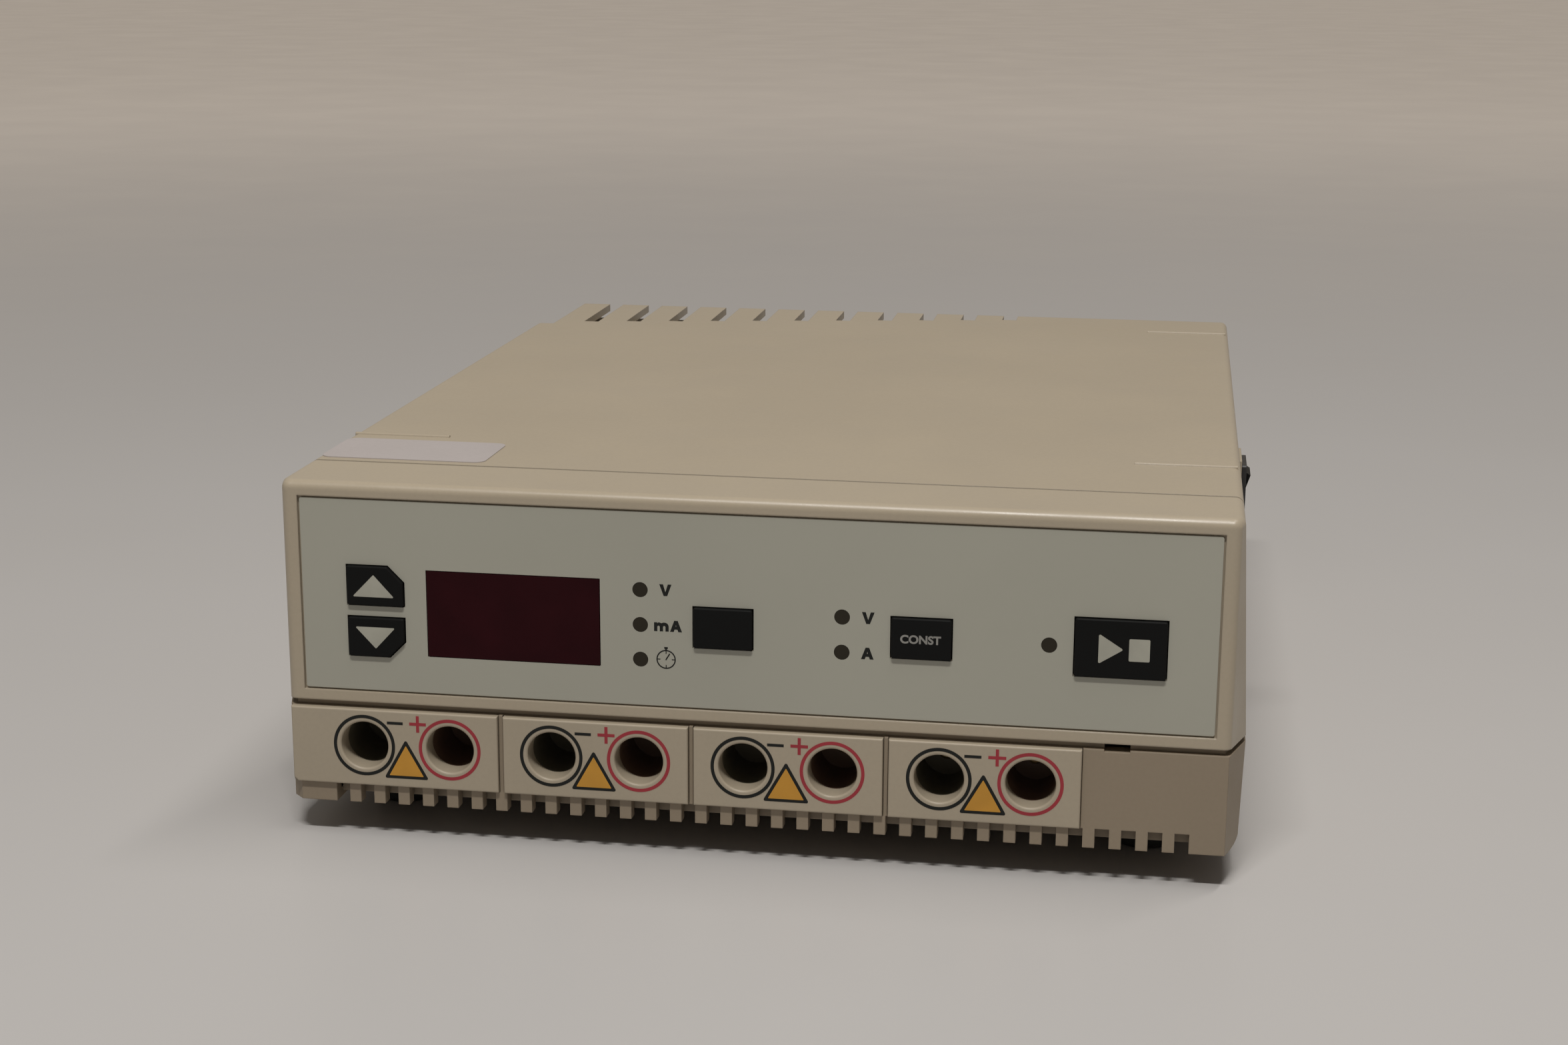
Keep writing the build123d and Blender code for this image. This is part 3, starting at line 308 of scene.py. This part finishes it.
black_plastic = moulded(
    "black_plastic", (0.018, 0.018, 0.019), rough=0.45, grain=2400.0, grain_depth=0.00002,
    wear=0.3, wear_color=(0.09, 0.09, 0.09), crevice_shade=0.0,
)
window_filter = filter_window("window_filter", (0.0243, 0.0026, 0.0045))
lamp_cap = smooth("lamp_cap", (0.024, 0.0195, 0.0120), rough=0.30, specular=0.2)
lamp_lens = smooth("lamp_lens", (0.40, 0.04, 0.03), rough=0.25)
display_face = smooth("display_face", (0.020, 0.014, 0.014), rough=0.35)
sleeve_dark = smooth("sleeve_dark", (0.130, 0.116, 0.082), rough=0.35)
sleeve_ruby = smooth("sleeve_ruby", (0.150, 0.090, 0.062), rough=0.35)
brass = metal("brass_contact", (0.78, 0.62, 0.34), rough=0.25, streak=(900.0, 60.0, 900.0))
zinc = metal("zinc_plate", (0.60, 0.60, 0.57), rough=0.3, streak=(300.0, 300.0, 300.0))
aluminium = metal("aluminium_sink", (0.66, 0.67, 0.68), rough=0.34, streak=(700.0, 700.0, 14.0))
pcb = board("board_green", (0.022, 0.13, 0.055), (0.10, 0.26, 0.10))
laminations = banded(
    "laminations", (0.24, 0.22, 0.20), (0.12, 0.11, 0.10), 0.5, "Y", 0.45, metallic=0.7
)
winding_tape = banded("winding_tape", (0.52, 0.28, 0.06), (0.40, 0.19, 0.035), 1.2, "Z", 0.4)
can_sleeve = smooth("can_sleeve", (0.020, 0.045, 0.15), rough=0.22, coat=0.3)
foot_rubber = moulded(
    "foot_rubber", (0.022, 0.021, 0.020), rough=0.78, grain=1800.0, grain_depth=0.00006,
    wear=0.2, wear_color=(0.06, 0.058, 0.055), crevice_shade=0.0, specular=0.3,
)
paper = moulded(
    "label_stock", (0.455, 0.412, 0.400), rough=0.36, grain=700.0, grain_depth=0.00001,
    wear=0.0, crevice_shade=0.1, round_radius=0.0,
)
fuse_glass = clear_glass("fuse_glass", (0.80, 0.84, 0.82))
lead_cover = smooth("lead_cover", (0.04, 0.07, 0.24), rough=0.4)
ribbon = banded("ribbon_cover", (0.40, 0.40, 0.42), (0.30, 0.30, 0.33), 1.27, "X", 0.5)
ink_black = smooth("ink_black", (0.012, 0.013, 0.012), rough=0.5, round_radius=0.0, specular=0.2)
ink_red = smooth("ink_red", RED, rough=0.42, round_radius=0.0)
ink_amber = smooth("ink_amber", AMBER, rough=0.42, round_radius=0.0)
ink_pale = smooth("ink_pale", GREY, rough=0.45, round_radius=0.0)
ink_dim = smooth("ink_dim", (0.27, 0.262, 0.24), rough=0.5, round_radius=0.0)

LOOKS = {
    "front_bezel": cream_bezel, "top_cover": cream, "base_shell": cream_low,
    "front_overlay": overlay_film, "display_window": window_filter, "light_windows": lamp_cap,
    "key_up": key_plastic, "key_down": key_plastic, "key_select": key_plastic,
    "key_mode": key_plastic, "key_run": key_plastic, "key_switches": black_plastic,
    "status_lights": lamp_lens, "digit_display": display_face, "control_board": pcb,
    "control_board_screws": zinc, "label": paper,
    "output_module_1": cream_module, "output_module_2": cream_module,
    "output_module_3": cream_module, "output_module_4": cream_module,
    "jack_sleeves_black": sleeve_dark, "jack_sleeves_red": sleeve_ruby,
    "jack_contacts": brass, "jack_nuts": zinc, "output_board": pcb, "rear_panel": cream_sheet,
    "rear_panel_screws": zinc, "inlet_housing": black_plastic, "inlet_pins": brass,
    "fuse_drawer": black_plastic, "fuses": fuse_glass, "switch_body": black_plastic,
    "power_rocker": key_plastic, "rubber_feet": foot_rubber, "case_screws": zinc,
    "main_board": pcb, "board_standoffs": zinc, "main_board_screws": zinc,
    "capacitors": can_sleeve, "output_relays": black_plastic, "choke_core": laminations,
    "choke_winding": winding_tape, "rectifier": black_plastic, "ribbon_header": black_plastic,
    "ribbon_socket": black_plastic, "ribbon_cable": ribbon, "transformer_core": laminations,
    "transformer_coil": winding_tape, "transformer_bracket": zinc, "transformer_screws": zinc,
    "heat_sink": aluminium, "power_transistors": black_plastic, "output_leads": lead_cover,
    "mains_leads": lead_cover,
}
for node_name, look in LOOKS.items():
    mesh = nodes[node_name].data
    if not mesh.materials:
        mesh.materials.append(look)
    for index in range(len(mesh.materials)):
        mesh.materials[index] = look


# Printed marks: flat closed solids a few hundredths of a millimetre thick. A shape is a
# list of loops of x and up, the outline and its holes, and face is a place inward
PRINT = 0.04


def closed_outlines(loops):
    curve = bpy.data.curves.new("outline", "CURVE")
    curve.dimensions = "2D"
    curve.fill_mode = "BOTH"
    for loop in loops:
        spline = curve.splines.new("POLY")
        spline.points.add(len(loop) - 1)
        for point, (x, up) in zip(spline.points, loop):
            point.co = (x, up, 0.0, 1.0)
        spline.use_cyclic_u = True
    return curve


def curve_mesh(curve, thickness):
    curve.extrude = thickness / 2
    holder = bpy.data.objects.new("holder", curve)
    bpy.context.scene.collection.objects.link(holder)
    bpy.context.view_layer.update()
    graph = bpy.context.evaluated_depsgraph_get()
    mesh = bpy.data.meshes.new_from_object(holder.evaluated_get(graph))
    bpy.data.objects.remove(holder)
    return mesh


def stand_up(mesh, face, thickness):
    # the flat outline's second axis becomes up, and its back lies on the face
    for vertex in mesh.vertices:
        x, up, out = vertex.co
        vertex.co = spot(x, face - thickness / 2 - out, up)
    return mesh


def one_piece(name, meshes, look, body):
    points, faces = [], []
    for mesh in meshes:
        start = len(points)
        points += [tuple(vertex.co) for vertex in mesh.vertices]
        faces += [[start + i for i in polygon.vertices] for polygon in mesh.polygons]
    whole = bpy.data.meshes.new(name)
    whole.from_pydata(points, [], faces)
    whole.materials.append(look)
    whole.validate()
    piece = bpy.data.objects.new(name, whole)
    bpy.context.scene.collection.objects.link(piece)
    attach(piece, body)


def printed(name, shapes, face, look, body="housing", thickness=PRINT):
    meshes = []
    for loops in shapes:
        mesh = curve_mesh(closed_outlines(loops), thickness)
        meshes.append(stand_up(mesh, face, thickness))
    one_piece(name, meshes, look, body)


def circle(x, up, radius, count=72):
    turns = [2 * math.pi * i / count for i in range(count)]
    return [(x + radius * math.cos(a), up + radius * math.sin(a)) for a in turns]


def ring(x, up, outer, inner):
    return [circle(x, up, outer), circle(x, up, inner)[::-1]]


def bar(x_low, x_high, low, high):
    return [(x_low, low), (x_high, low), (x_high, high), (x_low, high)]


def cross(x, up, arm, half):
    return [
        (x - arm, up - half), (x - half, up - half), (x - half, up - arm), (x + half, up - arm),
        (x + half, up - half), (x + arm, up - half), (x + arm, up + half), (x + half, up + half),
        (x + half, up + arm), (x - half, up + arm), (x - half, up + half), (x - arm, up + half),
    ]


def rounded_corners(corners, radius, steps=5):
    points = []
    count = len(corners)
    for i, corner in enumerate(corners):
        at = Vector(corner)
        before = (Vector(corners[i - 1]) - at).normalized()
        after = (Vector(corners[(i + 1) % count]) - at).normalized()
        half = before.angle(after) / 2
        reach = radius / math.tan(half)
        middle = at + (before + after).normalized() * (radius / math.sin(half))
        start = at + before * reach - middle
        end = at + after * reach - middle
        turn = start.angle_signed(end)
        for step in range(steps + 1):
            angle = -turn * step / steps
            c, s = math.cos(angle), math.sin(angle)
            x = middle.x + start.x * c - start.y * s
            points.append((x, middle.y + start.x * s + start.y * c))
    return points


# A word fitted into a box; weight thickens its strokes
def lettering(name, word, box, face, look, body, weight):
    x_low, x_high, low, high = box
    curve = bpy.data.curves.new("letters", "FONT")
    curve.body = word
    curve.offset = weight
    curve.fill_mode = "BOTH"
    mesh = curve_mesh(curve, PRINT)
    xs = [v.co.x for v in mesh.vertices]
    ups = [v.co.y for v in mesh.vertices]
    wide = (x_high - x_low) / (max(xs) - min(xs))
    tall = (high - low) / (max(ups) - min(ups))
    for v in mesh.vertices:
        v.co.x = x_low + (v.co.x - min(xs)) * wide
        v.co.y = low + (v.co.y - min(ups)) * tall
    one_piece(name, [stand_up(mesh, face, PRINT)], look, body)


# Where the printed faces lie, inward from the front face
MODULE_FACE = -1.0
OVERLAY_FACE = 0.3
KEY_FACE = -0.6

# The jacks, in pairs about each module's middle
FIRST_MODULE = -87.9
MODULE_PITCH = 49.2
JACK_REACH = 11.3
JACK_UP = 15.9
MODULES = [FIRST_MODULE + MODULE_PITCH * i for i in range(4)]
MINUS = [x - JACK_REACH for x in MODULES]
PLUS = [x + JACK_REACH for x in MODULES]

# The prints around them. Their x is taken from the minus jack's axis
RING_RADII = (8.15, 7.3)
BAR_X = (6.2, 10.4)
BAR_UP = (21.88, 22.62)
CROSS_X = 14.3
CROSS_UP = 22.3
CROSS_ARM = 2.2
CROSS_HALF = 0.4
TRIANGLE_X = 11.0
OUTER_TRIANGLE = (7.45, 18.0, 5.9)
OUTER_ROUND = 0.4
INNER_TRIANGLE = (8.2, 16.35, 4.56)
INNER_ROUND = 0.12

printed(
    "marks_black_rings", [ring(x, JACK_UP, *RING_RADII) for x in MINUS],
    MODULE_FACE, ink_black,
)
printed(
    "marks_red_rings", [ring(x, JACK_UP, *RING_RADII) for x in PLUS],
    MODULE_FACE, ink_red,
)
printed(
    "marks_minus", [[bar(x + BAR_X[0], x + BAR_X[1], *BAR_UP)] for x in MINUS],
    MODULE_FACE, ink_black,
)
printed(
    "marks_plus", [[cross(x + CROSS_X, CROSS_UP, CROSS_ARM, CROSS_HALF)] for x in MINUS],
    MODULE_FACE, ink_red,
)


# One triangle below each pair of jacks, by its lower side, its tip and its half width
def triangles(low, high, half, radius):
    middles = [x + TRIANGLE_X for x in MINUS]
    return [
        rounded_corners([(x - half, low), (x + half, low), (x, high)], radius) for x in middles
    ]


outer_loops = triangles(*OUTER_TRIANGLE, OUTER_ROUND)
inner_loops = triangles(*INNER_TRIANGLE, INNER_ROUND)
printed(
    "marks_triangle_edges",
    [[outer, inner[::-1]] for outer, inner in zip(outer_loops, inner_loops)],
    MODULE_FACE, ink_black,
)
printed(
    "marks_triangle_fields", [[inner] for inner in inner_loops],
    MODULE_FACE, ink_amber, thickness=PRINT * 0.8,
)

# Overlay legends. A slanted stroke is wider along the letter's edge than across, and the
# point where two of them meet is cut flat
SLANTED = 1.12
POINT_HALF = 0.55
POINT_DEPTH = 1.15


def letter_v(x, low, wide, high, stroke):
    inner = stroke * SLANTED
    middle = x + wide / 2
    half = stroke * POINT_HALF
    return [[
        (x, low + high), (x + inner, low + high), (middle, low + stroke * POINT_DEPTH),
        (x + wide - inner, low + high), (x + wide, low + high),
        (middle + half, low), (middle - half, low),
    ]]


def letter_a(x, low, wide, high, stroke):
    middle = x + wide / 2
    half = stroke * POINT_HALF
    lean = (wide / 2 - half) / high
    reach = stroke * SLANTED
    bar_low = low + high * 0.22
    bar_high = bar_low + stroke * 0.9

    def inner(up):
        return wide / 2 - reach - lean * (up - low)

    outline = [
        (x, low), (x + reach, low), (middle - inner(bar_low), bar_low),
        (middle + inner(bar_low), bar_low), (x + wide - reach, low), (x + wide, low),
        (middle + half, low + high), (middle - half, low + high),
    ]
    top = low + high - stroke * POINT_DEPTH
    side = inner(bar_high)
    hole = [(middle - side, bar_high), (middle, top), (middle + side, bar_high)]
    return [outline, hole]


ARCH_STEPS = 10
CORNER_STEPS = 6


def letter_m(x, low, wide, high, stroke):
    # two arches that share the middle stem
    span = (wide - stroke) / 2
    inner = (span - stroke) / 2
    top = low + high
    outline = [(x, low), (x + stroke, low)]
    for left in (x, x + span):
        middle = left + stroke + inner
        outline += [
            (middle - inner * math.cos(a), top - stroke - inner + inner * math.sin(a))
            for a in (math.pi * i / ARCH_STEPS for i in range(ARCH_STEPS + 1))
        ]
        outline += [(left + span, low), (left + span + stroke, low)]
    corner = stroke * 1.25
    outline += [
        (x + wide - corner + corner * math.cos(a), top - corner + corner * math.sin(a))
        for a in (math.pi / 2 * i / CORNER_STEPS for i in range(CORNER_STEPS + 1))
    ]
    notch = x + span + stroke / 2
    outline += [(notch + stroke * 0.6, top), (notch, top - stroke * 0.22)]
    outline += [(notch - stroke * 0.6, top), (x + stroke * 1.3, top)]
    outline += [(x + stroke, top - stroke * 0.3), (x + stroke, top), (x, top)]
    return [outline]


STROKE = 0.82
printed(
    "legend_units",
    [
        letter_v(-22.0, 59.1, 3.05, 2.95, STROKE),
        letter_m(-23.4, 49.95, 3.7, 2.25, STROKE),
        letter_a(-19.35, 49.95, 3.0, 2.85, STROKE),
        letter_v(28.6, 54.5, 3.1, 2.95, STROKE),
        letter_a(28.5, 45.45, 3.1, 2.95, STROKE),
    ],
    OVERLAY_FACE, ink_black,
)

# A stop watch: its case, the knob on its stem, the hand and the four ticks. Angles run
# clockwise from the top, in degrees
CLOCK_X, CLOCK_UP = -20.4, 42.7
HAND_ANGLE = 32
TICK_ANGLES = (90, 180, 270, 0)


def spoke(angle, inner, outer, width):
    turn = math.radians(angle)
    along = Vector((math.sin(turn), math.cos(turn)))
    side = Vector((along.y, -along.x)) * width / 2
    at = Vector((CLOCK_X, CLOCK_UP))
    return [
        tuple(at + along * inner - side), tuple(at + along * inner + side),
        tuple(at + along * outer + side), tuple(at + along * outer - side),
    ]


clock_marks = [
    ring(CLOCK_X, CLOCK_UP, 2.45, 2.15),
    [bar(CLOCK_X - 0.45, CLOCK_X + 0.45, CLOCK_UP + 2.75, CLOCK_UP + 3.2)],
    [bar(CLOCK_X - 0.2, CLOCK_X + 0.2, CLOCK_UP + 2.4, CLOCK_UP + 2.8)],
    [spoke(HAND_ANGLE, -0.2, 1.75, 0.3)],
]
clock_marks += [[spoke(angle, 1.45, 2.2, 0.22)] for angle in TICK_ANGLES]
printed("legend_clock", clock_marks, OVERLAY_FACE, ink_black)

# Key legends
printed(
    "legend_up", [[rounded_corners([(-101.0, 55.3), (-90.1, 55.3), (-95.4, 61.1)], 0.2)]],
    KEY_FACE, ink_pale, body="up_key",
)
printed(
    "legend_down", [[rounded_corners([(-100.6, 47.4), (-95.3, 41.8), (-90.1, 47.4)], 0.2)]],
    KEY_FACE, ink_pale, body="down_key",
)
lettering(
    "legend_mode", "CONST", (38.2, 48.2, 50.25, 52.45),
    KEY_FACE, ink_dim, body="mode_key", weight=0.034,
)
printed(
    "legend_run",
    [
        [rounded_corners([(86.3, 47.6), (86.3, 55.2), (92.3, 51.4)], 0.3)],
        [rounded_corners(bar(93.6, 98.6, 48.6, 54.2), 0.3)],
    ],
    KEY_FACE, ink_pale, body="run_key",
)


# Floor, lights and camera, in metres. The value is 1 for the rays that show the
# surroundings: the camera's own, and those that a reflection or glass sends on
def view_rays(tree):
    path = tree.nodes.new("ShaderNodeLightPath")
    shown = path.outputs["Is Camera Ray"]
    for kind in ("Is Glossy Ray", "Is Transmission Ray"):
        either = tree.nodes.new("ShaderNodeMath")
        either.operation = "MAXIMUM"
        tree.links.new(shown, either.inputs[0])
        tree.links.new(path.outputs[kind], either.inputs[1])
        shown = either.outputs[0]
    return shown


# The floor keeps its tone far from the lamps: what is seen of it there glows faintly,
# from the first distance on and fully from the second
FAR_FROM, FAR_FULL = 0.25, 2.6


def stage_look(name, color, far_color, rough):
    s = Shader(name)
    s.paint(s.mixed(s.ranged(s.noise(3.0, 3.0), 0.35, 0.65, 0.0, 1.0), shade(color, 0.985), color))
    s.patchy(8.0, 3.0, rough, rough + 0.1)
    reach = s.add("ShaderNodeVectorMath", operation="LENGTH")
    s.link(s.place, reach.inputs[0])
    far = s.ranged(reach.outputs["Value"], FAR_FROM, FAR_FULL, 0.0, 1.0)
    far.node.interpolation_type = "SMOOTHSTEP"
    seen = s.add("ShaderNodeMath", operation="MULTIPLY")
    s.link(far, seen.inputs[0])
    s.link(view_rays(s.tree), seen.inputs[1])
    s.bsdf.inputs["Emission Color"].default_value = (*far_color, 1.0)
    s.link(seen.outputs[0], s.bsdf.inputs["Emission Strength"])
    return s.material


FLOOR_HALF = 8
FLOOR_COLOR = (0.54, 0.522, 0.508)
FAR_COLOR = (0.235, 0.20, 0.165)

floor_corners = bar(-FLOOR_HALF, FLOOR_HALF, -FLOOR_HALF, FLOOR_HALF)
floor_mesh = bpy.data.meshes.new("floor")
floor_mesh.from_pydata([(x, y, 0) for x, y in floor_corners], [], [(0, 1, 2, 3)])
floor_mesh.materials.append(stage_look("floor_look", FLOOR_COLOR, FAR_COLOR, 0.35))
plane = bpy.data.objects.new("floor", floor_mesh)
bpy.context.scene.collection.objects.link(plane)


def area_light(name, place, aim, size, power, color):
    data = bpy.data.lights.new(name, "AREA")
    data.shape = "RECTANGLE"
    data.size, data.size_y = size
    data.energy = power
    data.color = color
    lamp = bpy.data.objects.new(name, data)
    lamp.location = place
    lamp.rotation_mode = "QUATERNION"
    lamp.rotation_quaternion = (Vector(aim) - Vector(place)).to_track_quat("-Z", "Y")
    bpy.context.scene.collection.objects.link(lamp)


# A lamp above the front edge, and one steeply in front, narrow so that shadows stay crisp
area_light(
    "key_lamp", place=(0.45, -0.15, 1.8), aim=(0.0, 0.0, 0.05), size=(1.4, 0.10),
    power=10.0, color=(1.0, 0.97, 0.93),
)
area_light(
    "front_lamp", place=(0.0, -1.04, 1.95), aim=(0.0, -0.1, 0.05), size=(0.7, 0.12),
    power=27.0, color=(1.0, 0.98, 0.95),
)

# The world's light on the object, and what is seen of it: colour and strength
WORLD_LIGHT = ((0.98, 0.98, 1.0), 0.09)
WORLD_SEEN = ((0.318, 0.280, 0.234), 1.0)

world = bpy.data.worlds.new("studio")
world.use_nodes = True
tree = world.node_tree
tree.nodes.clear()
either_light = tree.nodes.new("ShaderNodeMixShader")
tree.links.new(view_rays(tree), either_light.inputs[0])
for number, (color, strength) in enumerate((WORLD_LIGHT, WORLD_SEEN)):
    background = tree.nodes.new("ShaderNodeBackground")
    background.inputs["Color"].default_value = (*color, 1.0)
    background.inputs["Strength"].default_value = strength
    tree.links.new(background.outputs[0], either_light.inputs[number + 1])
output = tree.nodes.new("ShaderNodeOutputWorld")
tree.links.new(either_light.outputs[0], output.inputs["Surface"])
bpy.context.scene.world = world
bpy.context.scene.view_settings.view_transform = "Standard"

# The photo's camera, in millimetres and degrees, solved from the case's straight edges
CAMERA_SPOT = (99.834, -567.574, 220.381)
YAW, PITCH, ROLL = math.radians(9.0725), math.radians(13.7984), math.radians(0.3122)
FOCAL_PIXELS = 3644.14
PHOTO_WIDTH = 2352
SENSOR = 36.0

camera_data = bpy.data.cameras.new("camera")
camera_data.sensor_width = SENSOR
camera_data.lens = FOCAL_PIXELS / PHOTO_WIDTH * SENSOR
camera_data.clip_start, camera_data.clip_end = 0.01, 40.0
camera = bpy.data.objects.new("camera", camera_data)
forward = Vector((
    -math.sin(YAW) * math.cos(PITCH), math.cos(YAW) * math.cos(PITCH), -math.sin(PITCH)
))
right = Vector((math.cos(YAW), math.sin(YAW), 0.0))
above = right.cross(forward)
turned_right = right * math.cos(ROLL) + above * math.sin(ROLL)
turned_up = above * math.cos(ROLL) - right * math.sin(ROLL)
turn = Matrix((turned_right, turned_up, -forward)).transposed()
camera.matrix_world = Matrix.Translation(spot(*CAMERA_SPOT)) @ turn.to_4x4()
bpy.context.scene.collection.objects.link(camera)
bpy.context.scene.camera = camera
